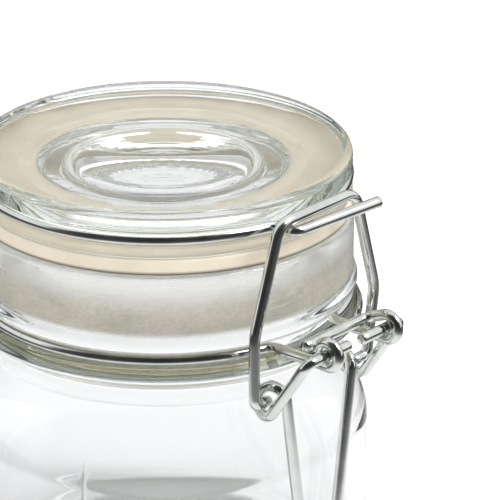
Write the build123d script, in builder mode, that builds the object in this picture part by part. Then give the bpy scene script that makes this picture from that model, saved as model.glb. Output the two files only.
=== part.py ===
from build123d import *
from math import asin, atan2, cos, hypot, pi, sin, sqrt
import os

# Clip-top glass jar with a glass lid, a rubber seal and a sprung wire clasp.
# Millimetres. The origin is the centre of the base, +Z is up, the clasp faces -Y.

# Glass jar
lip_height = 74.1
body_radius = 36.0
body_wall = 3.0
floor_thickness = 4.5
heel_radius = 4.0
shoulder_height = 34.5
waist_inset = 4.4
waist_length = 2.9
waist_wall = 3.6
neck_inset = 2.7
neck_blend = 2.2
lower_bead = 1.7
lower_bead_drop = 3.1
lower_bead_blend = 3.2
upper_bead = 0.7
upper_bead_rise = 2.7
mouth_inset = 7.0
mouth_blend = 2.7
lip_rounding = 1.2

# Rubber seal
seal_gap = 0.1
seal_thickness = 3.0
seal_overhang = 0.1
seal_rounding = 0.6

# Glass lid
lid_inset = 0.3
lid_thickness = 8.2
rim_rounding = 1.5
rim_width = 2.8
bowl_width = 8.7
bowl_depth = 0.9
dish_radius = 18.0
dish_depth = 1.2
plug_inset = 7.0
plug_depth = 6.0
plug_rounding = 1.0
plug_wall = 4.3
hollow_ceiling = 2.3
hollow_dome = 0.8
hollow_rounding = 2.5

# Wire stock, shared by all four wire pieces
wire_diameter = 2.0
groove_clearance = 0.15
exit_bend = 2.5
tight_bend = 1.5
pivot_clearance = 0.2

# Neck wire
neck_wire_drop = 15.4
neck_wire_sink = 0.6
front_arm_x = 7.8
eye_standoff = 11.8
left_eye_turn = 1.5 * pi
right_eye_turn = 1.12 * pi
tie_length = 3.8
tie_bend = 2.0
tie_end_x = 9.1
bracket_x = 9.0
bracket_bend = 2.0

# Lid wire
lid_wire_rise = 3.2
lid_wire_sink = 0.8
catch_arm_x = 6.6
catch_standoff = 3.0
catch_tip_x = 12.6
catch_tip_flare = 2.4
catch_tip_rise = 0.5
hinge_standoff = 5.5
hook_x = 5.0
hook_tuck = 2.5
plain_end_x = 6.5

# Lever
coil_standoff = 3.3
coil_drop = 9.9
coil_clearance = 0.35
lever_arm_x = 12.2
coil_outer_x = 12.3
coil_inner_x = 8.8
coil_tightness = 0.96
lever_stub_x = 1.6
handle_standoff = 1.5
handle_drop = 27.6
handle_tip_x = 4.4
handle_shift = -0.8
lever_shift = -0.9
handle_tip_bend = 3.4

# Bail
bail_bar_standoff = 2.3
bail_bar_rise = 2.25
bail_bar_x = 9.8
bail_bar_bend = 3.6
bail_knee_x = 15.7
bail_knee_rise = 12.5
bail_knee_bend = 8.0
bail_foot_x = 14.8
bail_stub_x = 11.0

# Radii, from the axis outwards
waist_radius = body_radius - waist_inset
neck_radius = body_radius - neck_inset
mouth_radius = body_radius - mouth_inset
lower_bead_radius = neck_radius + lower_bead
upper_bead_radius = neck_radius + upper_bead
lid_radius = neck_radius - lid_inset
plug_radius = mouth_radius - plug_inset
hollow_radius = plug_radius - plug_wall
rim_flat_inner = lid_radius - rim_width
bowl_radius = rim_flat_inner - bowl_width
wire_radius = wire_diameter / 2
groove_radius = wire_radius + groove_clearance
neck_wire_radius = neck_radius - neck_wire_sink
lid_wire_radius = lid_radius - lid_wire_sink
eye_radius = wire_diameter + pivot_clearance
hook_radius = wire_diameter + pivot_clearance
coil_radius = wire_diameter + coil_clearance

# Heights, from the base upwards
neck_wire_height = lip_height - neck_wire_drop
lower_bead_height = neck_wire_height - lower_bead_drop
upper_bead_height = neck_wire_height + upper_bead_rise
neck_start = upper_bead_height + neck_blend
waist_high = lower_bead_height - lower_bead_blend
waist_low = waist_high - waist_length
mouth_start = neck_wire_height - mouth_blend
seal_bottom = lip_height + seal_gap
lid_bottom = seal_bottom + seal_thickness
lid_top = lid_bottom + lid_thickness
lid_wire_height = lid_bottom + lid_wire_rise
hinge_height = lid_wire_height - hook_radius
eye_height = neck_wire_height + eye_radius
coil_height = eye_height - coil_drop
handle_tip_height = coil_height - handle_drop
bail_bar_height = lid_wire_height + bail_bar_rise
bail_knee_height = coil_height + bail_knee_rise

# Reaches of the wires, out from the axis
eye_reach = neck_wire_radius + eye_standoff
coil_reach = waist_radius + coil_standoff
handle_tip_reach = body_radius + handle_standoff
catch_reach = lid_radius + catch_standoff
catch_tip_reach = catch_reach + catch_tip_flare
bail_bar_reach = lid_radius + bail_bar_standoff
hinge_reach = lid_radius + hinge_standoff


def front(x, reach, height):
    """A point at this reach in front of the jar's axis."""
    return (x, -reach, height)


def ring_exit(ring, arm_x):
    """Ends and middle of the bend from a ring to a straight arm, as (side, reach) pairs."""
    side = arm_x + exit_bend
    reach = sqrt((ring + exit_bend) ** 2 - side**2)
    toward_ring = atan2(-reach, -side)
    half_way = (toward_ring - pi) / 2
    on_ring = (side * ring / (ring + exit_bend), reach * ring / (ring + exit_bend))
    middle = (side + exit_bend * cos(half_way), reach + exit_bend * sin(half_way))
    return on_ring, middle, (arm_x, reach)


def around(centre_reach, centre_height, radius, angle):
    """Reach and height of a point on a circle that lies in the clasp's side view."""
    return centre_reach + radius * cos(angle), centre_height + radius * sin(angle)


# Jar: one turned glass wall, with a channel round the neck for its wire
with BuildPart() as jar:
    with BuildSketch(Plane.XZ):
        with BuildLine():
            Polyline((0, lip_height), (0, 0), (body_radius - heel_radius, 0))
            RadiusArc(
                (body_radius - heel_radius, 0), (body_radius, heel_radius), -heel_radius
            )
            Line((body_radius, heel_radius), (body_radius, shoulder_height))
            Spline(
                (body_radius, shoulder_height),
                (waist_radius, waist_low),
                tangents=((0, 1), (0, 1)),
            )
            Line((waist_radius, waist_low), (waist_radius, waist_high))
            Spline(
                (waist_radius, waist_high),
                (lower_bead_radius, lower_bead_height),
                tangents=((0, 1), (0, 1)),
            )
            Spline(
                (lower_bead_radius, lower_bead_height),
                (neck_radius, neck_wire_height),
                (upper_bead_radius, upper_bead_height),
                tangents=((0, 1), (0, 1)),
            )
            Spline(
                (upper_bead_radius, upper_bead_height),
                (neck_radius, neck_start),
                tangents=((0, 1), (0, 1)),
            )
            Line((neck_radius, neck_start), (neck_radius, lip_height - lip_rounding))
            RadiusArc(
                (neck_radius, lip_height - lip_rounding),
                (neck_radius - lip_rounding, lip_height),
                -lip_rounding,
            )
            Line((neck_radius - lip_rounding, lip_height), (0, lip_height))
        make_face()
    revolve(axis=Axis.Z)
    with BuildSketch(Plane.XZ):
        with BuildLine():
            Polyline(
                (0, lip_height),
                (0, floor_thickness),
                (body_radius - body_wall - heel_radius, floor_thickness),
            )
            RadiusArc(
                (body_radius - body_wall - heel_radius, floor_thickness),
                (body_radius - body_wall, floor_thickness + heel_radius),
                -heel_radius,
            )
            Line(
                (body_radius - body_wall, floor_thickness + heel_radius),
                (body_radius - body_wall, shoulder_height),
            )
            Spline(
                (body_radius - body_wall, shoulder_height),
                (waist_radius - waist_wall, waist_low),
                (mouth_radius, mouth_start),
                tangents=((0, 1), (0, 1)),
            )
            Line((mouth_radius, mouth_start), (mouth_radius, lip_height - lip_rounding))
            RadiusArc(
                (mouth_radius, lip_height - lip_rounding),
                (mouth_radius + lip_rounding, lip_height),
                lip_rounding,
            )
            Line((mouth_radius + lip_rounding, lip_height), (0, lip_height))
        make_face()
    revolve(axis=Axis.Z, mode=Mode.SUBTRACT)
    with BuildSketch(Plane.XZ):
        with Locations((neck_wire_radius, neck_wire_height)):
            Circle(groove_radius)
            Rectangle(wire_diameter, 2 * groove_radius, align=(Align.MIN, Align.CENTER))
    revolve(axis=Axis.Z, mode=Mode.SUBTRACT)

# Lid: rounded rim, bowled and dished top, plug that drops into the mouth
with BuildPart() as lid:
    with BuildSketch(Plane.XZ):
        with BuildLine():
            Spline(
                (0, lid_bottom + hollow_ceiling + hollow_dome),
                (hollow_radius - hollow_rounding, lid_bottom + hollow_ceiling),
                tangents=((1, 0), (1, 0)),
            )
            RadiusArc(
                (hollow_radius - hollow_rounding, lid_bottom + hollow_ceiling),
                (hollow_radius, lid_bottom + hollow_ceiling - hollow_rounding),
                hollow_rounding,
            )
            Polyline(
                (hollow_radius, lid_bottom + hollow_ceiling - hollow_rounding),
                (hollow_radius, lid_bottom - plug_depth),
                (plug_radius - plug_rounding, lid_bottom - plug_depth),
            )
            RadiusArc(
                (plug_radius - plug_rounding, lid_bottom - plug_depth),
                (plug_radius, lid_bottom - plug_depth + plug_rounding),
                -plug_rounding,
            )
            Polyline(
                (plug_radius, lid_bottom - plug_depth + plug_rounding),
                (plug_radius, lid_bottom),
                (lid_radius, lid_bottom),
                (lid_radius, lid_top - rim_rounding),
            )
            RadiusArc(
                (lid_radius, lid_top - rim_rounding),
                (lid_radius - rim_rounding, lid_top),
                -rim_rounding,
            )
            Line((lid_radius - rim_rounding, lid_top), (rim_flat_inner, lid_top))
            Spline(
                (rim_flat_inner, lid_top),
                (bowl_radius, lid_top - bowl_depth),
                tangents=((-1, 0), (-1, 0)),
            )
            Line((bowl_radius, lid_top - bowl_depth), (dish_radius, lid_top - bowl_depth))
            Spline(
                (dish_radius, lid_top - bowl_depth),
                (0, lid_top - bowl_depth - dish_depth),
                tangents=((-1, -0.2), (-1, 0)),
            )
            Line(
                (0, lid_top - bowl_depth - dish_depth),
                (0, lid_bottom + hollow_ceiling + hollow_dome),
            )
        make_face()
    revolve(axis=Axis.Z)
    with BuildSketch(Plane.XZ):
        with Locations((lid_wire_radius, lid_wire_height)):
            Circle(groove_radius)
            Rectangle(wire_diameter, 2 * groove_radius, align=(Align.MIN, Align.CENTER))
    revolve(axis=Axis.Z, mode=Mode.SUBTRACT)

# Gasket: flat rubber ring round the plug, between lid and lip
with BuildPart() as gasket:
    with BuildSketch(Plane.XZ):
        with Locations(
            ((plug_radius + lid_radius) / 2 + seal_overhang, seal_bottom + seal_thickness / 2)
        ):
            RectangleRounded(lid_radius - plug_radius, seal_thickness, seal_rounding)
    revolve(axis=Axis.Z)

# Neck wire: ring in the neck channel, two eyes and a tie in front, a bracket behind
with BuildPart() as neck_wire:
    ring_f, bend_f, arm_f = ring_exit(neck_wire_radius, front_arm_x)
    ring_b, bend_b, arm_b = ring_exit(neck_wire_radius, bracket_x)
    left_end = around(eye_reach, eye_height, eye_radius, left_eye_turn - pi / 2)
    left_mid = around(eye_reach, eye_height, eye_radius, (left_eye_turn - pi) / 2)
    right_end = around(eye_reach, eye_height, eye_radius, right_eye_turn - pi / 2)
    right_mid = around(eye_reach, eye_height, eye_radius, (right_eye_turn - pi) / 2)
    tie = around(*right_end, tie_length, right_eye_turn)
    with BuildLine() as neck_path:
        ThreePointArc(
            front(-front_arm_x, *left_end),
            front(-front_arm_x, *left_mid),
            front(-front_arm_x, eye_reach, neck_wire_height),
        )
        Line(
            front(-front_arm_x, eye_reach, neck_wire_height),
            (-arm_f[0], -arm_f[1], neck_wire_height),
        )
        ThreePointArc(
            (-arm_f[0], -arm_f[1], neck_wire_height),
            (-bend_f[0], -bend_f[1], neck_wire_height),
            (-ring_f[0], -ring_f[1], neck_wire_height),
        )
        ThreePointArc(
            (-ring_f[0], -ring_f[1], neck_wire_height),
            (-neck_wire_radius, 0, neck_wire_height),
            (-ring_b[0], ring_b[1], neck_wire_height),
        )
        ThreePointArc(
            (-ring_b[0], ring_b[1], neck_wire_height),
            (-bend_b[0], bend_b[1], neck_wire_height),
            (-arm_b[0], arm_b[1], neck_wire_height),
        )
        FilletPolyline(
            (-arm_b[0], arm_b[1], neck_wire_height),
            (-bracket_x, hinge_reach, neck_wire_height),
            (-bracket_x, hinge_reach, hinge_height),
            (bracket_x, hinge_reach, hinge_height),
            (bracket_x, hinge_reach, neck_wire_height),
            (arm_b[0], arm_b[1], neck_wire_height),
            radius=bracket_bend,
        )
        ThreePointArc(
            (arm_b[0], arm_b[1], neck_wire_height),
            (bend_b[0], bend_b[1], neck_wire_height),
            (ring_b[0], ring_b[1], neck_wire_height),
        )
        ThreePointArc(
            (ring_b[0], ring_b[1], neck_wire_height),
            (neck_wire_radius, 0, neck_wire_height),
            (ring_f[0], -ring_f[1], neck_wire_height),
        )
        ThreePointArc(
            (ring_f[0], -ring_f[1], neck_wire_height),
            (bend_f[0], -bend_f[1], neck_wire_height),
            (arm_f[0], -arm_f[1], neck_wire_height),
        )
        Line(
            (arm_f[0], -arm_f[1], neck_wire_height),
            front(front_arm_x, eye_reach, neck_wire_height),
        )
        ThreePointArc(
            front(front_arm_x, eye_reach, neck_wire_height),
            front(front_arm_x, *right_mid),
            front(front_arm_x, *right_end),
        )
        FilletPolyline(
            front(front_arm_x, *right_end),
            front(front_arm_x, *tie),
            front(-tie_end_x, *tie),
            radius=tie_bend,
        )
    with BuildSketch(neck_path.line ^ 0):
        Circle(wire_radius)
    sweep()

# Lid wire: catch bar in front, ring in the rim channel, hooks round the bracket behind
with BuildPart() as lid_wire:
    ring_c, bend_c, arm_c = ring_exit(lid_wire_radius, catch_arm_x)
    ring_h, bend_h, arm_h = ring_exit(lid_wire_radius, hook_x)
    plain_end_reach = sqrt(lid_wire_radius**2 - plain_end_x**2)
    with BuildLine() as lid_path:
        FilletPolyline(
            front(catch_tip_x, catch_tip_reach, lid_wire_height + catch_tip_rise),
            front(-catch_arm_x, catch_reach, lid_wire_height),
            (-arm_c[0], -arm_c[1], lid_wire_height),
            radius=tight_bend,
        )
        ThreePointArc(
            (-arm_c[0], -arm_c[1], lid_wire_height),
            (-bend_c[0], -bend_c[1], lid_wire_height),
            (-ring_c[0], -ring_c[1], lid_wire_height),
        )
        ThreePointArc(
            (-ring_c[0], -ring_c[1], lid_wire_height),
            (-lid_wire_radius, 0, lid_wire_height),
            (-ring_h[0], ring_h[1], lid_wire_height),
        )
        ThreePointArc(
            (-ring_h[0], ring_h[1], lid_wire_height),
            (-bend_h[0], bend_h[1], lid_wire_height),
            (-arm_h[0], arm_h[1], lid_wire_height),
        )
        Line(
            (-arm_h[0], arm_h[1], lid_wire_height),
            (-hook_x, hinge_reach, lid_wire_height),
        )
        ThreePointArc(
            (-hook_x, hinge_reach, lid_wire_height),
            (-hook_x, hinge_reach + hook_radius, hinge_height),
            (-hook_x, hinge_reach, hinge_height - hook_radius),
        )
        FilletPolyline(
            (-hook_x, hinge_reach, hinge_height - hook_radius),
            (-hook_x, hinge_reach - hook_tuck, hinge_height - hook_radius),
            (hook_x, hinge_reach - hook_tuck, hinge_height - hook_radius),
            (hook_x, hinge_reach, hinge_height - hook_radius),
            radius=tight_bend,
        )
        ThreePointArc(
            (hook_x, hinge_reach, hinge_height - hook_radius),
            (hook_x, hinge_reach + hook_radius, hinge_height),
            (hook_x, hinge_reach, lid_wire_height),
        )
        Line(
            (hook_x, hinge_reach, lid_wire_height),
            (arm_h[0], arm_h[1], lid_wire_height),
        )
        ThreePointArc(
            (arm_h[0], arm_h[1], lid_wire_height),
            (bend_h[0], bend_h[1], lid_wire_height),
            (ring_h[0], ring_h[1], lid_wire_height),
        )
        ThreePointArc(
            (ring_h[0], ring_h[1], lid_wire_height),
            (lid_wire_radius, 0, lid_wire_height),
            front(plain_end_x, plain_end_reach, lid_wire_height),
        )
    with BuildSketch(lid_path.line ^ 0):
        Circle(wire_radius)
    sweep()

# Lever: stubs in the eyes, arms, one coil a side round the bail's stubs, looped handle
with BuildPart() as lever:
    arm_span = hypot(eye_reach - coil_reach, eye_height - coil_height)
    arm_heading = atan2(eye_height - coil_height, eye_reach - coil_reach)
    arm_heading = pi + arm_heading + asin(coil_radius / arm_span)
    corner_turn = (arm_heading + pi / 2) / 4
    corner_radius = coil_radius / cos(corner_turn / 2)
    halves = []
    for side in (-1, 1):
        inner_x = coil_inner_x + side * handle_shift
        half = [front(side * lever_stub_x + lever_shift, eye_reach, eye_height)]
        half.append(front(side * lever_arm_x + lever_shift, eye_reach, eye_height))
        for corner in range(4):
            turned = arm_heading + pi / 2 - (corner + 0.5) * corner_turn
            place = around(coil_reach, coil_height, corner_radius, turned)
            corner_x = coil_outer_x + (inner_x - coil_outer_x) * corner / 3
            half.append(front(side * corner_x + lever_shift, *place))
        tip_x = side * handle_tip_x + handle_shift + lever_shift
        half.append(front(tip_x, handle_tip_reach, handle_tip_height))
        halves.append(half)
    half_bends = [tight_bend] + [coil_radius * coil_tightness] * 4 + [handle_tip_bend]
    with BuildLine() as lever_path:
        FilletPolyline(
            *halves[0], *reversed(halves[1]), radius=half_bends + half_bends[::-1]
        )
    with BuildSketch(lever_path.line ^ 0):
        Circle(wire_radius)
    sweep()

# Bail: bar over the lid's catch, splayed legs, stubs that turn in the lever's coils
with BuildPart() as bail:
    with BuildLine() as bail_path:
        FilletPolyline(
            front(lever_shift - bail_stub_x, coil_reach, coil_height),
            front(lever_shift - bail_foot_x, coil_reach, coil_height),
            front(-bail_knee_x, coil_reach, bail_knee_height),
            front(-bail_bar_x, bail_bar_reach, bail_bar_height),
            front(bail_bar_x, bail_bar_reach, bail_bar_height),
            front(bail_knee_x, coil_reach, bail_knee_height),
            front(lever_shift + bail_foot_x, coil_reach, coil_height),
            front(lever_shift + bail_stub_x, coil_reach, coil_height),
            radius=[
                tight_bend,
                bail_knee_bend,
                bail_bar_bend,
                bail_bar_bend,
                bail_knee_bend,
                tight_bend,
            ],
        )
    with BuildSketch(bail_path.line ^ 0):
        Circle(wire_radius)
    sweep()

jar.part.label = "jar"
lid.part.label = "lid"
gasket.part.label = "gasket"
neck_wire.part.label = "neck_wire"
lid_wire.part.label = "lid_wire"
lever.part.label = "lever"
bail.part.label = "bail"

os.makedirs("parts", exist_ok=True)
export_step(jar.part, "parts/jar.step")
export_step(lid.part, "parts/lid.step")
export_step(gasket.part, "parts/gasket.step")
export_step(neck_wire.part, "parts/neck_wire.step")
export_step(lid_wire.part, "parts/lid_wire.step")
export_step(lever.part, "parts/lever.step")
export_step(bail.part, "parts/bail.step")
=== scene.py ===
import math

import bpy
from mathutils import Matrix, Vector


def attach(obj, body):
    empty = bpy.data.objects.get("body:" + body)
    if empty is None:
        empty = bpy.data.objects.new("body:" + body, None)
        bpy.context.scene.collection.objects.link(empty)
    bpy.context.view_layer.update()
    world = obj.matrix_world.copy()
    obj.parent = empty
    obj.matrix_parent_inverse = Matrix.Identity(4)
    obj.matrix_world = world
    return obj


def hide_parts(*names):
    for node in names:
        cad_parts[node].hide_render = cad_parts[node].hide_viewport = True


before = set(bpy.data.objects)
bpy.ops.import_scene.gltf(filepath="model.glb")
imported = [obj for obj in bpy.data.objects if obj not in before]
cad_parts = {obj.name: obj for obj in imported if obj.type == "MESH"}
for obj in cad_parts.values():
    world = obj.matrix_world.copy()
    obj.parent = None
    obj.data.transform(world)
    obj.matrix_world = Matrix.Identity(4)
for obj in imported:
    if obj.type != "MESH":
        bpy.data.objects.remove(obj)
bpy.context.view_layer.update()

MM = 0.001

# Sizes in millimetres, as in the CAD model. Origin at the base's centre, clasp at -Y.
WIRE_R = 1.0
GROOVE_R = 1.15
EXIT_BEND = 2.5

# Jar, from the base up. Sections of the ridge and of the groove's edges are steps out and up.
BODY_R, BODY_INNER_R = 36.0, 33.0
BASE_ROUND, FLOOR_Z = 4.0, 4.5
SHOULDER_Z = 34.5
WAIST_R, WAIST_Z, WAIST_TOP_Z = 31.6, 49.3, 52.4
WAIST_INNER_R, WAIST_INNER_Z = 28.0, 49.8
RIDGE_Z = 49.4
RIDGE_SECTION = ((0.0, 0.0), (0.04, 0.1), (0.18, 0.22), (0.18, 0.35), (0.04, 0.47), (0.0, 0.6))
BEAD_R, BEAD_Z = 35.0, 55.6
GROOVE_FOOT = ((1.05, -1.7), (0.85, -1.45), (0.6, -1.27), (0.3, -1.17))
GROOVE_BROW = ((0.3, 1.17), (0.6, 1.27), (0.9, 1.5), (1.15, 1.9), (1.27, 2.3), (1.3, 2.7))
NECK_R, NECK_Z = 33.3, 63.6
MOUTH_R, MOUTH_Z = 29.0, 56.0
LIP_Z, LIP_ROUND = 74.1, 1.2

# Mould seams of the jar: angles in degrees, height, section in degrees and shares of the height,
# closest column in degrees, and how many rows of the base's rounding they run over
SEAM_ANGLES, SEAM_HEIGHT = (199.7, 19.7), 0.09
SEAM_SECTION = ((-0.9, 0), (-0.45, 0.25), (-0.2, 0.8), (0, 1), (0.2, 0.8), (0.45, 0.25), (0.9, 0))
SEAM_SPACING, SEAM_BASE_ROWS = 0.12, 6

# Lid, from the hollow in its plug outwards, and over the rim to the dish in its top
HOLLOW_R, HOLLOW_Z, HOLLOW_EDGE_Z = 17.7, 80.3, 79.5
HOLLOW_ROUND, HOLLOW_LIP = 2.5, 0.6
PLUG_R, PLUG_Z, PLUG_ROUND, PLUG_FILLET = 22.0, 71.2, 1.0, 0.3
FLANGE_Z, FLANGE_ROUND = 77.2, 0.5
LID_R, LID_TOP_Z, LID_ROUND = 33.0, 85.4, 1.5
GROOVE_LOW_Z, GROOVE_LOW_ROUND = 78.9, 0.3
GROOVE_HIGH_Z, GROOVE_HIGH_ROUND = 81.9, 0.35
RIM_R, STEP_R = 30.2, 21.5
DISH_R, DISH_Z, DISH_DEPTH = 18.0, 84.5, 1.2

# Seal. Its taper is (radius, drop below the top).
SEAL_R, SEAL_INNER_R, SEAL_ROUND = 33.1, 22.1, 0.6
SEAL_LOW_Z, SEAL_TOP_Z = 74.2, 77.23
SEAL_TAPER = ((26.2, 0.0), (25.4, 0.07), (24.4, 0.2), (23.4, 0.4), (22.6, 0.7), (SEAL_INNER_R, 1.2))

# Neck wire
NECK_RING_R, NECK_RING_Z = 32.7, 58.7
ARM_X = 7.8
EYE_REACH, EYE_Z, EYE_R, EYE_TURN = 44.5, 60.9, 2.2, 201.6
TIE_LENGTH, TIE_BEND, TIE_END_X = 3.8, 2.0, -9.1
BRACKET_X, BRACKET_ROOT_Y, BRACKET_BEND = 9.0, 34.5, 2.0
HINGE_Y, HINGE_Z = 38.5, 78.2

# Lid wire
LID_RING_R, LID_RING_Z = 32.2, 80.4
CATCH_X, CATCH_REACH, CATCH_ROOT, CATCH_BEND = 6.6, 36.0, 33.5, 1.5
CATCH_TIP_X, CATCH_TIP_REACH, CATCH_TIP_RISE = 12.6, 38.4, 0.5
HOOK_X, HOOK_R, HOOK_DEPTH, HOOK_BEND = 5.0, 2.2, 2.5, 1.5
LID_WIRE_END_X = 6.5

# Lever
LEVER_SHIFT, HANDLE_SHIFT = -0.9, -0.8
PIVOT_X, LEVER_ARM_X, ARM_BEND = 1.6, 12.2, 1.5
COIL_REACH, COIL_Z, COIL_R = 34.9, 51.0, 2.35
COIL_OUTER_X, COIL_INNER_X = 12.3, 8.8
COIL_CORNERS, COIL_BEND_SHARE = 4, 0.96
HANDLE_TIP_X, HANDLE_TIP_REACH, HANDLE_TIP_Z, HANDLE_BEND = 4.4, 37.5, 23.4, 3.4

# Bail
STUB_X, FOOT_X, FOOT_BEND = 11.0, 14.8, 1.5
KNEE_X, KNEE_Z, KNEE_BEND = 15.7, 63.5, 8.0
BAR_X, BAR_REACH, BAR_Z, BAR_BEND = 9.8, 35.3, 82.65, 3.6

# Fineness of the meshes. A wire's cut end is (distance from the end, share of the radius).
JAR_COLUMNS, LID_COLUMNS, SEAL_COLUMNS = 224, 224, 160
WIRE_SIDES, WIRE_STEP = 24, 1.2
EXIT_STEPS = 12
WIRE_END = ((0.0, 0.72), (0.07, 0.9), (0.26, 1.0))
WIRE_END_LENGTH = 0.3
SAME_POINT, ON_AXIS = 0.02, 1e-6

# Photograph: long lens, clasp side seen from the left and above
CAMERA_AZIMUTH, CAMERA_ELEVATION = -47.3, 21.1
FOCAL_PIXELS, PIXELS_PER_MM, FRAME_PIXELS = 4000.0, 5.75, 500.0
AIM_Z, AIM_PIXEL = 83.5, (164.0, 152.8)
SENSOR_WIDTH, CLIP_START, CLIP_END = 36.0, 0.05, 20

# Soda-lime glass: its surface tint, and the absorption along a path through it, per metre
GLASS_IOR = 1.5
GLASS_TINT = (0.98, 0.985, 0.98)
GLASS_DEPTH_COLOUR = (0.10, 0.24, 0.16, 1)
GLASS_DENSITY = 7.5
GLASS_HAZE = ((0.35, 0.0), (0.7, 0.012))

# Where a surface changes, in millimetres: the start and the end of each change, and stops on the way
INNER_WALL, OUTER_WALL = (30.6, 30.0), (31.8, 32.4)
FROST_Z = (56.0, 74.0)
FROST_STOPS = ((0.27, 0.0), (0.37, 0.92), (0.58, 0.9), (0.82, 0.3), (1.0, 0.05))
# Painted shade and reflection of the neck wire, as an olive band on the bead under it: heights and stops
PAINTED_BEAD_SHADE_Z = (54.0, 58.0)
PAINTED_BEAD_SHADE_STOPS = ((0.48, 0.0), (0.62, 1.0), (0.85, 1.0), (0.95, 0.0))
LID_TOP_FACE_Z = (82.2, 83.0)
# Where the seal's line of painted shade lies: outer reach and foot height
SEAL_SHADE_R, SEAL_SHADE_Z = (32.5, 32.9), (75.1, 74.6)

# Colours and roughness, as stops over a noise or as single values
FROST_TINT = ((0.34, (0.88, 0.79, 0.63)), (0.60, (1.0, 0.95, 0.81)))
# Darker patches on the matt band are painted reflection of the surroundings, placed at random by noise
FROST_PAINTED_REFLECTION = ((0.36, 0.74), (0.56, 1.0))
FROST_ROUGH = (0.5, 0.5, 0.5)
# Olive colour of the painted shade and reflection of the neck wire on the bead
PAINTED_BEAD_SHADE = (0.42, 0.375, 0.20)
CREAM_TINT = ((0.3, (0.82, 0.73, 0.58)), (0.7, (0.90, 0.82, 0.67)))
CREAM_ROUGH = ((0.3, 0.42), (0.7, 0.62))
CREAM_GLOW, CREAM_GLOW_DEPTH = 0.08, (0.002, 0.0012, 0.0008)
# Colour of the painted shade in the crease between the seal's outer foot and the lip
SEAL_PAINTED_SHADE = (0.20, 0.18, 0.13)
ZINC_TINT = ((0.32, (0.66, 0.69, 0.68)), (0.68, (0.80, 0.81, 0.77)))
ZINC_ROUGH = ((0.3, 0.10), (0.75, 0.20))

# Noise over a surface: scale, detail, and stretch along each axis
MOULD_WAVES = (70, 1.5, (1, 1, 0.6))
GLASS_SPECKS = (900, 3)
FROST_GRAIN = (1300, 5, (1, 1, 1.6))
# Noise for the patches of painted reflection on the matt band
FROST_REFLECTION_PATCHES = (60, 2, (1, 1, 2.2))
CREAM_MOTTLE = (160, 4)
CREAM_DUST = (2600, 2)
WIRE_LINES = (4200, 2, (0.02, 1, 1))
WIRE_PATCHES = (240, 3)
RING_SCALE, RING_DISTORTION, RING_DETAIL = 210.0, 0.1, 2.0

# Bumps: strength, and depth in metres. Each glass has its own strengths of waves and grain.
JAR_SKIN, LID_SKIN = (0.07, 0.005), (0.05, 0.003)
WAVE_DEPTH, GRAIN_DEPTH = 0.0006, 0.00012
FROST_BUMP = (0.4, 0.00025)
RING_BUMP = (0.025, 0.0002)
CREAM_BUMP = (0.25, 0.00008)
WIRE_BUMP = (0.10, 0.00003)

# Studio: direction of the dark side, and what metal and glass see of room and floor
ROOM_SIDE = (-0.724, -0.668, 0.17)
ROOM_WHITE = (1.0, 1.0, 1.0)
MIRRORED_STOPS = ((0.0, 0.25), (0.08, 0.30), (0.14, 0.9), (0.62, 0.95), (0.72, 0.06), (1.0, 0.02))
THROUGH_STOPS = ((0.0, 1.02), (0.45, 1.02), (0.62, 0.88), (1.0, 0.82))
OVERHEAD, OVERHEAD_LIGHT = (0.35, 0.75), (1.95, 1.95, 1.93)
FLOOR_HALF, FLOOR_DROP = 2500.0, 0.05
FLOOR_LIT, FLOOR_THROUGH, FLOOR_SEEN = (0.8, 0.8, 0.8), (0.93, 0.925, 0.95), (1.15, 1.15, 1.15)
SHEET_REACH = (60.0, 240.0)
SHEET_STOPS = ((0.0, 0.9), (0.22, 0.75), (0.45, 0.2), (1.0, 0.05))
KEY_PLACE, KEY_SIZE, KEY_POWER = (0.35, -0.6, 0.8), (0.5, 0.5), 4.0
KEY_AIM = (0, 0, 0.05)
LIGHT_BOUNCES, MIRROR_BOUNCES, GLASS_BOUNCES = 24, 16, 24


# Profiles and paths

def run(start, end, count):
    """Points from start to end, start left out."""
    return [tuple(a + (b - a) * i / count for a, b in zip(start, end)) for i in range(1, count + 1)]


def turn(centre, radius, first, last, count):
    """Points on an arc in the (radius, height) plane, angles in degrees."""
    angles = [math.radians(first + (last - first) * i / count) for i in range(count + 1)]
    return [(centre[0] + radius * math.cos(a), centre[1] + radius * math.sin(a)) for a in angles]


def ease(start, end, count):
    """An S from start to end, upright at both ends, start left out."""
    out = []
    for i in range(1, count + 1):
        t = i / count
        s = t * t * (3 - 2 * t)
        out.append((start[0] + (end[0] - start[0]) * s, start[1] + (end[1] - start[1]) * t))
    return out


def level_ease(start, end, count):
    """An S from start to end, level at both ends, start left out."""
    out = []
    for i in range(1, count + 1):
        t = i / count
        s = t * t * (3 - 2 * t)
        out.append((start[0] + (end[0] - start[0]) * t, start[1] + (end[1] - start[1]) * s))
    return out


def bends(points, radii):
    """A route through 3-D points whose inner corners are rounded by these radii."""
    route = [Vector(points[0])]
    for i in range(1, len(points) - 1):
        here = Vector(points[i])
        back = (Vector(points[i - 1]) - here).normalized()
        ahead = (Vector(points[i + 1]) - here).normalized()
        swing = math.pi - back.angle(ahead)
        reach = radii[i - 1] * math.tan(swing / 2)
        middle = (back + ahead).normalized()
        centre = here + middle * (radii[i - 1] / math.cos(swing / 2))
        first = here + back * reach - centre
        last = here + ahead * reach - centre
        count = max(4, int(math.degrees(swing) / 7))
        for k in range(count + 1):
            t = k / count
            a = math.sin((1 - t) * swing) / math.sin(swing)
            b = math.sin(t * swing) / math.sin(swing)
            route.append(centre + first * a + last * b)
    route.append(Vector(points[-1]))
    return route


def ring_exit(ring, arm_x):
    """Centre of the bend from a ring to a straight arm, as (side, reach), and its lean."""
    side = arm_x + EXIT_BEND
    reach = math.sqrt((ring + EXIT_BEND) ** 2 - side**2)
    return (side, reach), math.atan2(reach, side)


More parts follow.
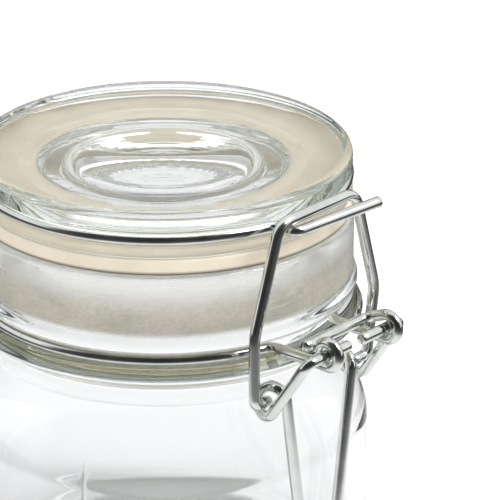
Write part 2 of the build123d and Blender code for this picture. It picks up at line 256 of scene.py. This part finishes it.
def exit_points(ring, arm_x, z, side_sign, reach_sign, outward):
    """The bend between a ring and a straight arm, in the named quadrant, towards or from the arm."""
    (side, reach), lean = ring_exit(ring, arm_x)
    first, last = math.pi + lean, math.pi
    points = []
    for k in range(EXIT_STEPS + 1):
        a = first + (last - first) * k / EXIT_STEPS
        x = side + EXIT_BEND * math.cos(a)
        y = reach + EXIT_BEND * math.sin(a)
        points.append(Vector((side_sign * x, reach_sign * y, z)))
    return points if outward else points[::-1]


def ring_points(ring, z, start, end, count):
    """Points on a level ring between two angles in degrees."""
    angles = [math.radians(start + (end - start) * i / count) for i in range(count + 1)]
    return [Vector((ring * math.cos(a), ring * math.sin(a), z)) for a in angles]


def side_arc(x, centre, radius, first, last, count):
    """Points on an upright arc in the clasp's side view, angles in degrees from straight out."""
    angles = [math.radians(first + (last - first) * i / count) for i in range(count + 1)]
    return [
        Vector((x, -(centre[0] + radius * math.cos(a)), centre[1] + radius * math.sin(a)))
        for a in angles
    ]


def join(*runs):
    """Runs of points as one route, with points that fall together dropped."""
    route = []
    for points in runs:
        for p in points:
            if not route or (Vector(p) - route[-1]).length > SAME_POINT:
                route.append(Vector(p))
    return route


def refine(route, longest):
    """The same route with long straight runs divided."""
    out = [route[0]]
    for a, b in zip(route, route[1:]):
        count = max(1, int((b - a).length / longest))
        out += [a.lerp(b, i / count) for i in range(1, count + 1)]
    return out


# Meshes

def new_object(name, verts, faces, material):
    """A smooth-shaded object from points in millimetres."""
    mesh = bpy.data.meshes.new(name)
    mesh.from_pydata([tuple(c * MM for c in v) for v in verts], [], faces)
    mesh.materials.append(material)
    mesh.polygons.foreach_set("use_smooth", [True] * len(mesh.polygons))
    mesh.update()
    made = bpy.data.objects.new(name, mesh)
    bpy.context.scene.collection.objects.link(made)
    return made


def columns(count, seams):
    """Angles round a turned piece, closer together at each mould seam, with the seam's height."""
    found = {}
    for i in range(count):
        found[round(360.0 * i / count, 4)] = 0.0
    for centre in seams:
        for offset, rise in SEAM_SECTION:
            place = centre + offset
            found = {a: r for a, r in found.items() if abs(a - place) > SEAM_SPACING or r > 0}
            found[round(place % 360, 4)] = rise
    return sorted(found.items())


def lathe(name, profile, material, count, seams=(), seam_rows=None):
    """A turned solid. The profile is (radius, height), from the axis or closed on itself."""
    angles = columns(count, seams)
    closed = profile[0][0] > ON_AXIS
    verts, rows = [], []
    for k, (r, z) in enumerate(profile):
        if r < ON_AXIS:
            rows.append([len(verts)] * len(angles))
            verts.append((0.0, 0.0, z))
            continue
        lift = SEAM_HEIGHT if seam_rows and seam_rows[0] <= k <= seam_rows[1] else 0.0
        row = []
        for a, rise in angles:
            reach = r + lift * rise
            row.append(len(verts))
            verts.append((reach * math.cos(math.radians(a)), reach * math.sin(math.radians(a)), z))
        rows.append(row)
    faces = []
    pairs = list(zip(range(len(rows)), range(1, len(rows))))
    if closed:
        pairs.append((len(rows) - 1, 0))
    n = len(angles)
    for low, high in pairs:
        for i in range(n):
            j = (i + 1) % n
            loop = [rows[low][i], rows[low][j], rows[high][j], rows[high][i]]
            loop = [v for k, v in enumerate(loop) if v not in loop[:k]]
            if len(loop) > 2:
                faces.append(loop)
    return new_object(name, verts, faces, material)


def tube(name, route, material):
    """A round wire along a route, its cut ends slightly rounded, with UVs along and round it."""
    sides = WIRE_SIDES
    route = refine(route, WIRE_STEP)
    lengths = [0.0]
    for a, b in zip(route, route[1:]):
        lengths.append(lengths[-1] + (b - a).length)
    tangents = []
    for i in range(len(route)):
        a, b = route[max(0, i - 1)], route[min(len(route) - 1, i + 1)]
        tangents.append((b - a).normalized())
    normal = tangents[0].orthogonal().normalized()
    verts, rings, marks = [], [], []

    def add_ring(centre, t, nrm, radius, along):
        other = t.cross(nrm)
        ring = []
        for k in range(sides):
            a = 2 * math.pi * k / sides
            ring.append(len(verts))
            verts.append(tuple(centre + (nrm * math.cos(a) + other * math.sin(a)) * radius))
        rings.append(ring)
        marks.append(along)

    total = lengths[-1]
    for i, (p, t) in enumerate(zip(route, tangents)):
        if i:
            q = tangents[i - 1].rotation_difference(t)
            normal = (q @ normal).normalized()
        normal = (normal - t * normal.dot(t)).normalized()
        if i == 0:
            for inset, share in WIRE_END:
                add_ring(p + t * inset, t, normal, WIRE_R * share, inset)
        elif i == len(route) - 1:
            for inset, share in WIRE_END[::-1]:
                add_ring(p - t * inset, t, normal, WIRE_R * share, total - inset)
        elif WIRE_END_LENGTH < lengths[i] < total - WIRE_END_LENGTH:
            add_ring(p, t, normal, WIRE_R, lengths[i])
    faces, uvs = [], []
    around = 2 * math.pi * WIRE_R
    for r in range(len(rings) - 1):
        for k in range(sides):
            j = (k + 1) % sides
            faces.append((rings[r][k], rings[r][j], rings[r + 1][j], rings[r + 1][k]))
            v0, v1 = k / sides * around, (k + 1) / sides * around
            uvs += [(marks[r], v0), (marks[r], v1), (marks[r + 1], v1), (marks[r + 1], v0)]
    for ring, flip in ((rings[0], True), (rings[-1], False)):
        centre = len(verts)
        verts.append(tuple(sum((Vector(verts[v]) for v in ring), Vector()) / sides))
        for k in range(sides):
            j = (k + 1) % sides
            faces.append((ring[j], ring[k], centre) if flip else (ring[k], ring[j], centre))
            uvs += [(0.0, 0.0)] * 3
    made = new_object(name, verts, faces, material)
    layer = made.data.uv_layers.new(name="wire")
    layer.data.foreach_set("uv", [c * MM for uv in uvs for c in uv])
    return made


# Materials

def blank(name):
    """A new material with its nodes, links and surface shader."""
    made = bpy.data.materials.new(name)
    made.use_nodes = True
    nodes, links = made.node_tree.nodes, made.node_tree.links
    return made, nodes, links, nodes["Principled BSDF"]


def noise(nodes, links, coords, scale, detail, stretch=(1, 1, 1)):
    """A noise texture over these coordinates, stretched along each axis."""
    mapping = nodes.new("ShaderNodeMapping")
    mapping.inputs["Scale"].default_value = stretch
    links.new(coords, mapping.inputs["Vector"])
    tex = nodes.new("ShaderNodeTexNoise")
    tex.inputs["Scale"].default_value = scale
    tex.inputs["Detail"].default_value = detail
    links.new(mapping.outputs["Vector"], tex.inputs["Vector"])
    return tex.outputs["Fac"]


def ramp(nodes, links, value, stops):
    """A colour ramp over a value, its stops as (place, grey or colour)."""
    made = nodes.new("ShaderNodeValToRGB")
    links.new(value, made.inputs["Fac"])
    elements = made.color_ramp.elements
    while len(elements) < len(stops):
        elements.new(0.5)
    for element, (place, colour) in zip(elements, stops):
        element.position = place
        colour = (colour,) * 3 if isinstance(colour, float) else colour
        element.color = (*colour, 1.0)
    return made.outputs["Color"]


def level(nodes, links, value, low, high):
    """A value moved from low..high to 0..1 and held there."""
    made = nodes.new("ShaderNodeMapRange")
    made.inputs["From Min"].default_value = low
    made.inputs["From Max"].default_value = high
    links.new(value, made.inputs["Value"])
    return made.outputs["Result"]


def span(nodes, links, length, ends):
    """A length moved from its first end, in millimetres, to 0 and its second to 1, and held there."""
    return level(nodes, links, length, ends[0] * MM, ends[1] * MM)


def mix(nodes, links, factor, below, above):
    """Colour below where the factor is 0 and above where it is 1; each a socket or a colour."""
    made = nodes.new("ShaderNodeMix")
    made.data_type = "RGBA"
    links.new(factor, made.inputs["Factor"])
    for key, colour in (("A", below), ("B", above)):
        if isinstance(colour, tuple):
            made.inputs[key].default_value = (*colour, 1)
        else:
            links.new(colour, made.inputs[key])
    return made.outputs["Result"]


def bump(nodes, links, height, strength, distance, below=None):
    """A normal bent by a height, over another normal if there is one."""
    made = nodes.new("ShaderNodeBump")
    made.inputs["Strength"].default_value = strength
    made.inputs["Distance"].default_value = distance
    links.new(height, made.inputs["Height"])
    if below is not None:
        links.new(below, made.inputs["Normal"])
    return made.outputs["Normal"]


def depth_colour(nodes, links):
    """The green-grey that thick glass takes on along a long path."""
    volume = nodes.new("ShaderNodeVolumeAbsorption")
    volume.inputs["Color"].default_value = GLASS_DEPTH_COLOUR
    volume.inputs["Density"].default_value = GLASS_DENSITY
    links.new(volume.outputs["Volume"], nodes["Material Output"].inputs["Volume"])


def multiply(nodes, links, first, second):
    """One value times another."""
    made = nodes.new("ShaderNodeMath")
    made.operation = "MULTIPLY"
    links.new(first, made.inputs[0])
    links.new(second, made.inputs[1])
    return made.outputs["Value"]


def across(nodes, links, coords):
    """Distance from the upright axis, and height."""
    flat = nodes.new("ShaderNodeMapping")
    flat.inputs["Scale"].default_value = (1, 1, 0)
    links.new(coords, flat.inputs["Vector"])
    length = nodes.new("ShaderNodeVectorMath")
    length.operation = "LENGTH"
    links.new(flat.outputs["Vector"], length.inputs[0])
    split = nodes.new("ShaderNodeSeparateXYZ")
    links.new(coords, split.inputs["Vector"])
    return length.outputs["Value"], split.outputs["Z"]


def pressed_surface(nodes, links, coords, wave, grain):
    """Fine grain, and a surface with slow waves of the mould under it."""
    waves = noise(nodes, links, coords, *MOULD_WAVES)
    specks = noise(nodes, links, coords, *GLASS_SPECKS)
    slow = bump(nodes, links, waves, wave, WAVE_DEPTH)
    fine = bump(nodes, links, specks, grain, GRAIN_DEPTH, slow)
    return specks, fine


def jar_glass(name):
    """Clear pressed glass, with a warm matt band on the neck's inner wall, darkened in patches by painted
    reflection, and painted shade and reflection of the neck wire as an olive band on the bead under it."""
    made, nodes, links, shader = blank(name)
    coords = nodes.new("ShaderNodeTexCoord").outputs["Object"]
    reach, height = across(nodes, links, coords)
    inner = span(nodes, links, reach, INNER_WALL)
    outer = span(nodes, links, reach, OUTER_WALL)
    rise = ramp(nodes, links, span(nodes, links, height, FROST_Z), FROST_STOPS)
    frost = multiply(nodes, links, rise, inner)
    # Painted shade and reflection of the neck wire: an olive band on the bead's outer face, under the
    # wire
    ring = ramp(nodes, links, span(nodes, links, height, PAINTED_BEAD_SHADE_Z), PAINTED_BEAD_SHADE_STOPS)
    shadow = multiply(nodes, links, ring, outer)
    grain = noise(nodes, links, coords, *FROST_GRAIN)
    # Patches of painted reflection darken the matt band at random
    patches = noise(nodes, links, coords, *FROST_REFLECTION_PATCHES)
    tint = ramp(nodes, links, grain, FROST_TINT)
    reflection_patches = ramp(nodes, links, patches, FROST_PAINTED_REFLECTION)
    matt = nodes.new("ShaderNodeMix")
    matt.data_type, matt.blend_type = "RGBA", "MULTIPLY"
    matt.inputs["Factor"].default_value = 1.0
    links.new(tint, matt.inputs["A"])
    links.new(reflection_patches, matt.inputs["B"])
    colour = mix(nodes, links, frost, GLASS_TINT, matt.outputs["Result"])
    colour = mix(nodes, links, shadow, colour, PAINTED_BEAD_SHADE)
    links.new(colour, shader.inputs["Base Color"])
    clear = nodes.new("ShaderNodeMath")
    clear.operation = "SUBTRACT"
    clear.inputs[0].default_value = 1.0
    links.new(frost, clear.inputs[1])
    links.new(clear.outputs["Value"], shader.inputs["Transmission Weight"])
    shader.inputs["IOR"].default_value = GLASS_IOR
    specks, skin = pressed_surface(nodes, links, coords, *JAR_SKIN)
    haze = ramp(nodes, links, specks, GLASS_HAZE)
    rough = mix(nodes, links, frost, haze, FROST_ROUGH)
    links.new(rough, shader.inputs["Roughness"])
    relief = bump(nodes, links, multiply(nodes, links, grain, frost), *FROST_BUMP, skin)
    links.new(relief, shader.inputs["Normal"])
    depth_colour(nodes, links)
    return made


def lid_glass(name):
    """Clear pressed glass, with the faint concentric rings of a turned mould on its top."""
    made, nodes, links, shader = blank(name)
    coords = nodes.new("ShaderNodeTexCoord").outputs["Object"]
    shader.inputs["Base Color"].default_value = (*GLASS_TINT, 1)
    shader.inputs["Transmission Weight"].default_value = 1.0
    shader.inputs["IOR"].default_value = GLASS_IOR
    specks, skin = pressed_surface(nodes, links, coords, *LID_SKIN)
    links.new(ramp(nodes, links, specks, GLASS_HAZE), shader.inputs["Roughness"])
    rings = nodes.new("ShaderNodeTexWave")
    rings.wave_type, rings.rings_direction = "RINGS", "Z"
    rings.inputs["Scale"].default_value = RING_SCALE
    rings.inputs["Distortion"].default_value = RING_DISTORTION
    rings.inputs["Detail"].default_value = RING_DETAIL
    links.new(coords, rings.inputs["Vector"])
    _, height = across(nodes, links, coords)
    top = span(nodes, links, height, LID_TOP_FACE_Z)
    ripple = multiply(nodes, links, rings.outputs["Fac"], top)
    relief = bump(nodes, links, ripple, *RING_BUMP, skin)
    links.new(relief, shader.inputs["Normal"])
    depth_colour(nodes, links)
    return made


def rubber(name):
    """Cream moulded rubber, slightly mottled and dusty, with painted shade as a dark line at its outer
    foot, in the crease against the jar's lip.
    """
    made, nodes, links, shader = blank(name)
    coords = nodes.new("ShaderNodeTexCoord").outputs["Object"]
    mottle = noise(nodes, links, coords, *CREAM_MOTTLE)
    colour = ramp(nodes, links, mottle, CREAM_TINT)
    reach, height = across(nodes, links, coords)
    # Painted shade: a dark line at the outer foot, where the seal meets the jar's lip
    edge = span(nodes, links, reach, SEAL_SHADE_R)
    foot = multiply(nodes, links, span(nodes, links, height, SEAL_SHADE_Z), edge)
    colour = mix(nodes, links, foot, colour, SEAL_PAINTED_SHADE)
    links.new(colour, shader.inputs["Base Color"])
    dust = noise(nodes, links, coords, *CREAM_DUST)
    rough = ramp(nodes, links, dust, CREAM_ROUGH)
    links.new(rough, shader.inputs["Roughness"])
    links.new(bump(nodes, links, dust, *CREAM_BUMP), shader.inputs["Normal"])
    shader.inputs["Subsurface Weight"].default_value = CREAM_GLOW
    shader.inputs["Subsurface Radius"].default_value = CREAM_GLOW_DEPTH
    return made


def plated_wire(name):
    """Bright zinc on drawn spring wire: fine lines along it, faint warm and cool patches."""
    made, nodes, links, shader = blank(name)
    uv = nodes.new("ShaderNodeUVMap")
    uv.uv_map = "wire"
    coords = nodes.new("ShaderNodeTexCoord").outputs["Object"]
    lines = noise(nodes, links, uv.outputs["UV"], *WIRE_LINES)
    patches = noise(nodes, links, coords, *WIRE_PATCHES)
    colour = ramp(nodes, links, patches, ZINC_TINT)
    links.new(colour, shader.inputs["Base Color"])
    shader.inputs["Metallic"].default_value = 1.0
    rough = ramp(nodes, links, patches, ZINC_ROUGH)
    links.new(rough, shader.inputs["Roughness"])
    links.new(bump(nodes, links, lines, *WIRE_BUMP), shader.inputs["Normal"])
    return made


JAR_GLASS = jar_glass("jar_clear_glass")
LID_GLASS = lid_glass("lid_clear_glass")
CREAM = rubber("cream_rubber")
ZINC = plated_wire("bright_wire")


# Glass jar

def jar_profile():
    """The jar's section, up the outside and down the inside, and the rows that its seams run over."""
    foot = BODY_R - BASE_ROUND
    corner = (BODY_INNER_R - BASE_ROUND, FLOOR_Z + BASE_ROUND)
    lip = LIP_Z - LIP_ROUND
    below = [(NECK_RING_R + out, NECK_RING_Z + up) for out, up in GROOVE_FOOT]
    above = [(NECK_RING_R + out, NECK_RING_Z + up) for out, up in GROOVE_BROW]
    outer = [(0.0, 0.0)]
    outer += run((0, 0), (foot, 0), 8)
    outer += turn((foot, BASE_ROUND), BASE_ROUND, -90, 0, 14)[1:]
    seam_start = len(outer) - SEAM_BASE_ROWS
    outer += run((BODY_R, BASE_ROUND), (BODY_R, SHOULDER_Z), 12)
    outer += ease((BODY_R, SHOULDER_Z), (WAIST_R, WAIST_Z), 30)
    outer += [(WAIST_R + out, RIDGE_Z + up) for out, up in RIDGE_SECTION]
    outer += run(outer[-1], (WAIST_R, WAIST_TOP_Z), 3)
    outer += ease((WAIST_R, WAIST_TOP_Z), (BEAD_R, BEAD_Z), 16)
    seam_end = len(outer)
    outer += ease((BEAD_R, BEAD_Z), below[0], 6)
    outer += below[1:]
    outer += turn((NECK_RING_R, NECK_RING_Z), GROOVE_R, 270, 90, 18)
    outer += above
    outer += ease(above[-1], (NECK_R, NECK_Z), 8)
    outer += run((NECK_R, NECK_Z), (NECK_R, lip), 6)
    outer += turn((NECK_R - LIP_ROUND, lip), LIP_ROUND, 0, 90, 9)[1:]
    outer += run((NECK_R - LIP_ROUND, LIP_Z), (MOUTH_R + LIP_ROUND, LIP_Z), 3)
    inner = turn((MOUTH_R + LIP_ROUND, lip), LIP_ROUND, 90, 180, 9)[1:]
    inner += run((MOUTH_R, lip), (MOUTH_R, MOUTH_Z), 10)
    inner += ease((MOUTH_R, MOUTH_Z), (WAIST_INNER_R, WAIST_INNER_Z), 12)
    inner += ease((WAIST_INNER_R, WAIST_INNER_Z), (BODY_INNER_R, SHOULDER_Z), 26)
    inner += run((BODY_INNER_R, SHOULDER_Z), (BODY_INNER_R, corner[1]), 10)
    inner += turn(corner, BASE_ROUND, 0, -90, 12)[1:]
    inner += run((corner[0], FLOOR_Z), (0.0, FLOOR_Z), 8)
    return outer + inner, (seam_start, seam_end)


profile, seam_rows = jar_profile()
jar = lathe("jar_glass", profile, JAR_GLASS, JAR_COLUMNS, SEAM_ANGLES, seam_rows)
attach(jar, "jar")
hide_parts("jar")


# Glass lid

def lid_profile():
    """The lid's section from the hollow's middle, round plug and rim, to the middle of the top."""
    hollow = (HOLLOW_R - HOLLOW_ROUND, HOLLOW_EDGE_Z - HOLLOW_ROUND)
    lip = (HOLLOW_R + HOLLOW_LIP, PLUG_Z + HOLLOW_LIP)
    plug = (PLUG_R - PLUG_ROUND, PLUG_Z + PLUG_ROUND)
    fillet = (PLUG_R + PLUG_FILLET, FLANGE_Z - PLUG_FILLET)
    flange = (LID_R - FLANGE_ROUND, FLANGE_Z + FLANGE_ROUND)
    crown = (LID_R - LID_ROUND, LID_TOP_Z - LID_ROUND)
    points = [(0.0, HOLLOW_Z)]
    points += level_ease((0, HOLLOW_Z), (hollow[0], HOLLOW_EDGE_Z), 14)
    points += turn(hollow, HOLLOW_ROUND, 90, 0, 10)[1:]
    points += run((HOLLOW_R, hollow[1]), (HOLLOW_R, lip[1]), 5)
    points += turn(lip, HOLLOW_LIP, 180, 270, 6)[1:]
    points += run((lip[0], PLUG_Z), (plug[0], PLUG_Z), 3)
    points += turn(plug, PLUG_ROUND, -90, 0, 8)[1:]
    points += run((PLUG_R, plug[1]), (PLUG_R, fillet[1]), 5)
    points += turn(fillet, PLUG_FILLET, 180, 90, 4)[1:]
    points += run((fillet[0], FLANGE_Z), (flange[0], FLANGE_Z), 8)
    points += turn(flange, FLANGE_ROUND, -90, 0, 6)[1:]
    points += run((LID_R, flange[1]), (LID_R, GROOVE_LOW_Z), 2)
    points += turn((LID_R - GROOVE_LOW_ROUND, GROOVE_LOW_Z), GROOVE_LOW_ROUND, 0, 80, 5)[1:]
    points += turn((LID_RING_R, LID_RING_Z), GROOVE_R, 270, 90, 18)
    points += turn((LID_R - GROOVE_HIGH_ROUND, GROOVE_HIGH_Z), GROOVE_HIGH_ROUND, -80, 0, 5)
    points += run((LID_R, GROOVE_HIGH_Z), (LID_R, crown[1]), 2)
    points += turn(crown, LID_ROUND, 0, 90, 14)[1:]
    points += run((crown[0], LID_TOP_Z), (RIM_R, LID_TOP_Z), 4)
    points += level_ease((RIM_R, LID_TOP_Z), (STEP_R, DISH_Z), 20)
    points += run((STEP_R, DISH_Z), (DISH_R, DISH_Z), 4)
    shares = [1 - i / 24 for i in range(1, 25)]
    points += [(DISH_R * q, DISH_Z - DISH_DEPTH * (1 - q * q) ** 1.5) for q in shares]
    return points


lid = lathe("lid_glass", lid_profile(), LID_GLASS, LID_COLUMNS)
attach(lid, "lid")
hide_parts("lid")


# Rubber seal

def seal_profile():
    """The seal's section, with a tapered inner top edge."""
    outside, foot = SEAL_R - SEAL_ROUND, SEAL_LOW_Z + SEAL_ROUND
    points = turn((outside, foot), SEAL_ROUND, -90, 0, 6)
    points += turn((outside, SEAL_TOP_Z - SEAL_ROUND), SEAL_ROUND, 0, 90, 6)
    points += [(r, SEAL_TOP_Z - drop) for r, drop in SEAL_TAPER]
    points += turn((SEAL_INNER_R + SEAL_ROUND, foot), SEAL_ROUND, 180, 270, 6)
    return points


seal = lathe("seal_ring", seal_profile(), CREAM, SEAL_COLUMNS)
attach(seal, "lid")
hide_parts("gasket")


# Wires

def angle_on_ring(ring, arm_x):
    """Where a bend leaves its ring, in degrees from the arm's own direction."""
    _, lean = ring_exit(ring, arm_x)
    return 90 - math.degrees(lean)


def neck_route():
    """From the left eye round the left of the neck, over the bracket, and back to the right eye."""
    front, back = angle_on_ring(NECK_RING_R, ARM_X), angle_on_ring(NECK_RING_R, BRACKET_X)
    z = NECK_RING_Z
    eye = (EYE_REACH, EYE_Z)
    leave = side_arc(ARM_X, eye, EYE_R, -90, EYE_TURN - 90, 30)
    heading = math.radians(EYE_TURN)
    tie = leave[-1] + Vector((0, -math.cos(heading), math.sin(heading))) * TIE_LENGTH
    bracket = bends(
        [
            (-BRACKET_X, BRACKET_ROOT_Y, z),
            (-BRACKET_X, HINGE_Y, z),
            (-BRACKET_X, HINGE_Y, HINGE_Z),
            (BRACKET_X, HINGE_Y, HINGE_Z),
            (BRACKET_X, HINGE_Y, z),
            (BRACKET_X, BRACKET_ROOT_Y, z),
        ],
        [BRACKET_BEND] * 4,
    )
    return join(
        side_arc(-ARM_X, eye, EYE_R, 180, -90, 40),
        exit_points(NECK_RING_R, ARM_X, z, -1, -1, False),
        ring_points(NECK_RING_R, z, 270 - front, 90 + back, 90),
        exit_points(NECK_RING_R, BRACKET_X, z, -1, 1, True),
        bracket,
        exit_points(NECK_RING_R, BRACKET_X, z, 1, 1, False),
        ring_points(NECK_RING_R, z, 90 - back, -90 + front, 90),
        exit_points(NECK_RING_R, ARM_X, z, 1, -1, True),
        leave,
        bends([leave[-1], tie, (TIE_END_X, tie.y, tie.z)], [TIE_BEND]),
    )


def lid_route():
    """From the catch's tip round the left of the lid, through both hooks, to the plain end."""
    z = LID_RING_Z
    front, back = angle_on_ring(LID_RING_R, CATCH_X), angle_on_ring(LID_RING_R, HOOK_X)
    low = HINGE_Z - HOOK_R
    catch = bends(
        [
            (CATCH_TIP_X, -CATCH_TIP_REACH, z + CATCH_TIP_RISE),
            (-CATCH_X, -CATCH_REACH, z),
            (-CATCH_X, -CATCH_ROOT, z),
        ],
        [CATCH_BEND],
    )
    cross = bends(
        [
            (-HOOK_X, HINGE_Y, low),
            (-HOOK_X, HINGE_Y - HOOK_DEPTH, low),
            (HOOK_X, HINGE_Y - HOOK_DEPTH, low),
            (HOOK_X, HINGE_Y, low),
        ],
        [HOOK_BEND] * 2,
    )
    hook = side_arc(0, (HINGE_Y, HINGE_Z), HOOK_R, 90, -90, 26)
    left_hook = [Vector((-HOOK_X, -p.y, p.z)) for p in hook]
    right_hook = [Vector((-p.x, p.y, p.z)) for p in reversed(left_hook)]
    end = 90 - math.degrees(math.acos(LID_WIRE_END_X / LID_RING_R))
    return join(
        catch,
        exit_points(LID_RING_R, CATCH_X, z, -1, -1, False),
        ring_points(LID_RING_R, z, 270 - front, 90 + back, 90),
        exit_points(LID_RING_R, HOOK_X, z, -1, 1, True),
        left_hook,
        cross,
        right_hook,
        exit_points(LID_RING_R, HOOK_X, z, 1, 1, False),
        ring_points(LID_RING_R, z, 90 - back, -90 + end, 90),
    )


def lever_route():
    """From the left pivot stub through the left coil to the handle, and back on the right."""
    span_out, span_up = EYE_REACH - COIL_REACH, EYE_Z - COIL_Z
    lean = math.asin(COIL_R / math.hypot(span_out, span_up))
    heading = math.pi + math.atan2(span_up, span_out) + lean
    step = (heading + math.pi / 2) / COIL_CORNERS
    corner_r = COIL_R / math.cos(step / 2)
    halves = []
    for side in (-1, 1):
        inner_x = COIL_INNER_X + side * HANDLE_SHIFT
        half = [(side * x + LEVER_SHIFT, -EYE_REACH, EYE_Z) for x in (PIVOT_X, LEVER_ARM_X)]
        for corner in range(COIL_CORNERS):
            a = heading + math.pi / 2 - (corner + 0.5) * step
            share = corner / (COIL_CORNERS - 1)
            x = side * (COIL_OUTER_X + (inner_x - COIL_OUTER_X) * share) + LEVER_SHIFT
            out = COIL_REACH + corner_r * math.cos(a)
            half.append((x, -out, COIL_Z + corner_r * math.sin(a)))
        tip_x = side * HANDLE_TIP_X + HANDLE_SHIFT + LEVER_SHIFT
        half.append((tip_x, -HANDLE_TIP_REACH, HANDLE_TIP_Z))
        halves.append(half)
    radii = [ARM_BEND] + [COIL_R * COIL_BEND_SHARE] * COIL_CORNERS + [HANDLE_BEND]
    return bends(halves[0] + halves[1][::-1], radii + radii[::-1])


def bail_route():
    """From the left stub in its coil up over the bar and down to the right stub."""
    halves = [
        [
            (side * STUB_X + LEVER_SHIFT, -COIL_REACH, COIL_Z),
            (side * FOOT_X + LEVER_SHIFT, -COIL_REACH, COIL_Z),
            (side * KNEE_X, -COIL_REACH, KNEE_Z),
            (side * BAR_X, -BAR_REACH, BAR_Z),
        ]
        for side in (-1, 1)
    ]
    radii = [FOOT_BEND, KNEE_BEND, BAR_BEND]
    return bends(halves[0] + halves[1][::-1], radii + radii[::-1])


for name, route, body, node in (
    ("neck_wire_bright", neck_route(), "jar", "neck_wire"),
    ("lid_wire_bright", lid_route(), "lid", "lid_wire"),
    ("lever_bright", lever_route(), "lever", "lever"),
    ("bail_bright", bail_route(), "bail", "bail"),
):
    wire = tube(name, route, ZINC)
    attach(wire, body)
    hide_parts(node)


# Stage: white floor, a white room with a dark side, one lamp and the camera

def make_floor():
    """A white floor that takes the shadow. Mirrored, it is a white sheet with darkness beyond."""
    paint = bpy.data.materials.new("floor_white")
    paint.use_nodes = True
    nodes, links = paint.node_tree.nodes, paint.node_tree.links
    nodes.clear()
    path = nodes.new("ShaderNodeLightPath").outputs
    coords = nodes.new("ShaderNodeTexCoord")
    far = nodes.new("ShaderNodeVectorMath")
    far.operation = "LENGTH"
    links.new(coords.outputs["Object"], far.inputs[0])
    sheet = ramp(nodes, links, span(nodes, links, far.outputs["Value"], SHEET_REACH), SHEET_STOPS)
    colour = mix(nodes, links, path["Is Glossy Ray"], FLOOR_LIT, sheet)
    colour = mix(nodes, links, path["Is Transmission Ray"], colour, FLOOR_THROUGH)
    colour = mix(nodes, links, path["Is Camera Ray"], colour, FLOOR_SEEN)
    diffuse = nodes.new("ShaderNodeBsdfDiffuse")
    links.new(colour, diffuse.inputs["Color"])
    out = nodes.new("ShaderNodeOutputMaterial")
    links.new(diffuse.outputs["BSDF"], out.inputs["Surface"])
    half = FLOOR_HALF
    corners = [(-half, -half, 0), (half, -half, 0), (half, half, 0), (-half, half, 0)]
    made = new_object("floor", corners, [(0, 1, 2, 3)], paint)
    made.location.z = -FLOOR_DROP * MM


def make_world():
    """A white room. Mirrored, it has a dark side; through glass that side is dim, and overhead bright."""
    world = bpy.data.worlds.new("studio")
    world.use_nodes = True
    bpy.context.scene.world = world
    nodes, links = world.node_tree.nodes, world.node_tree.links
    nodes.clear()
    out = nodes.new("ShaderNodeOutputWorld")
    sky = nodes.new("ShaderNodeBackground")
    links.new(sky.outputs["Background"], out.inputs["Surface"])
    path = nodes.new("ShaderNodeLightPath").outputs
    coords = nodes.new("ShaderNodeTexCoord")
    toward = nodes.new("ShaderNodeVectorMath")
    toward.operation = "DOT_PRODUCT"
    links.new(coords.outputs["Generated"], toward.inputs[0])
    toward.inputs[1].default_value = ROOM_SIDE
    side = level(nodes, links, toward.outputs["Value"], -1.0, 1.0)
    mirrored = ramp(nodes, links, side, MIRRORED_STOPS)
    split = nodes.new("ShaderNodeSeparateXYZ")
    links.new(coords.outputs["Generated"], split.inputs["Vector"])
    height = level(nodes, links, split.outputs["Z"], *OVERHEAD)
    through = ramp(nodes, links, side, THROUGH_STOPS)
    through = mix(nodes, links, height, through, OVERHEAD_LIGHT)
    colour = mix(nodes, links, path["Is Glossy Ray"], ROOM_WHITE, mirrored)
    colour = mix(nodes, links, path["Is Transmission Ray"], colour, through)
    links.new(colour, sky.inputs["Color"])


def make_lamp(name, place, size, power):
    """A rectangular lamp turned to the object."""
    lamp = bpy.data.lights.new(name, "AREA")
    lamp.shape = "RECTANGLE"
    lamp.size, lamp.size_y = size
    lamp.energy = power
    made = bpy.data.objects.new(name, lamp)
    bpy.context.scene.collection.objects.link(made)
    made.location = place
    aim = Vector(KEY_AIM) - Vector(place)
    made.rotation_euler = aim.to_track_quat("-Z", "Y").to_euler()


def make_camera():
    """The photograph's camera: AIM_Z on the axis falls on AIM_PIXEL of the frame."""
    lens = bpy.data.cameras.new("camera")
    lens.sensor_width = SENSOR_WIDTH
    lens.lens = FOCAL_PIXELS / FRAME_PIXELS * lens.sensor_width
    made = bpy.data.objects.new("camera", lens)
    bpy.context.scene.collection.objects.link(made)
    a, e = math.radians(CAMERA_AZIMUTH), math.radians(CAMERA_ELEVATION)
    back = Vector((math.sin(a) * math.cos(e), -math.cos(a) * math.cos(e), math.sin(e)))
    right = Vector((math.cos(a), math.sin(a), 0))
    up = back.cross(right)
    middle = FRAME_PIXELS / 2
    place = Vector((0, 0, AIM_Z)) + back * (FOCAL_PIXELS / PIXELS_PER_MM)
    aim = right * ((middle - AIM_PIXEL[0]) / PIXELS_PER_MM)
    aim -= up * ((middle - AIM_PIXEL[1]) / PIXELS_PER_MM)
    made.location = place * MM
    view = Vector((0, 0, AIM_Z)) + aim - place
    made.rotation_euler = view.to_track_quat("-Z", "Y").to_euler()
    lens.clip_start, lens.clip_end = CLIP_START, CLIP_END
    bpy.context.scene.camera = made


make_floor()
make_world()
make_lamp("key", KEY_PLACE, KEY_SIZE, KEY_POWER)
make_camera()
bpy.context.scene.view_settings.view_transform = "Standard"
bpy.context.scene.cycles.max_bounces = LIGHT_BOUNCES
bpy.context.scene.cycles.glossy_bounces = MIRROR_BOUNCES
bpy.context.scene.cycles.transmission_bounces = GLASS_BOUNCES
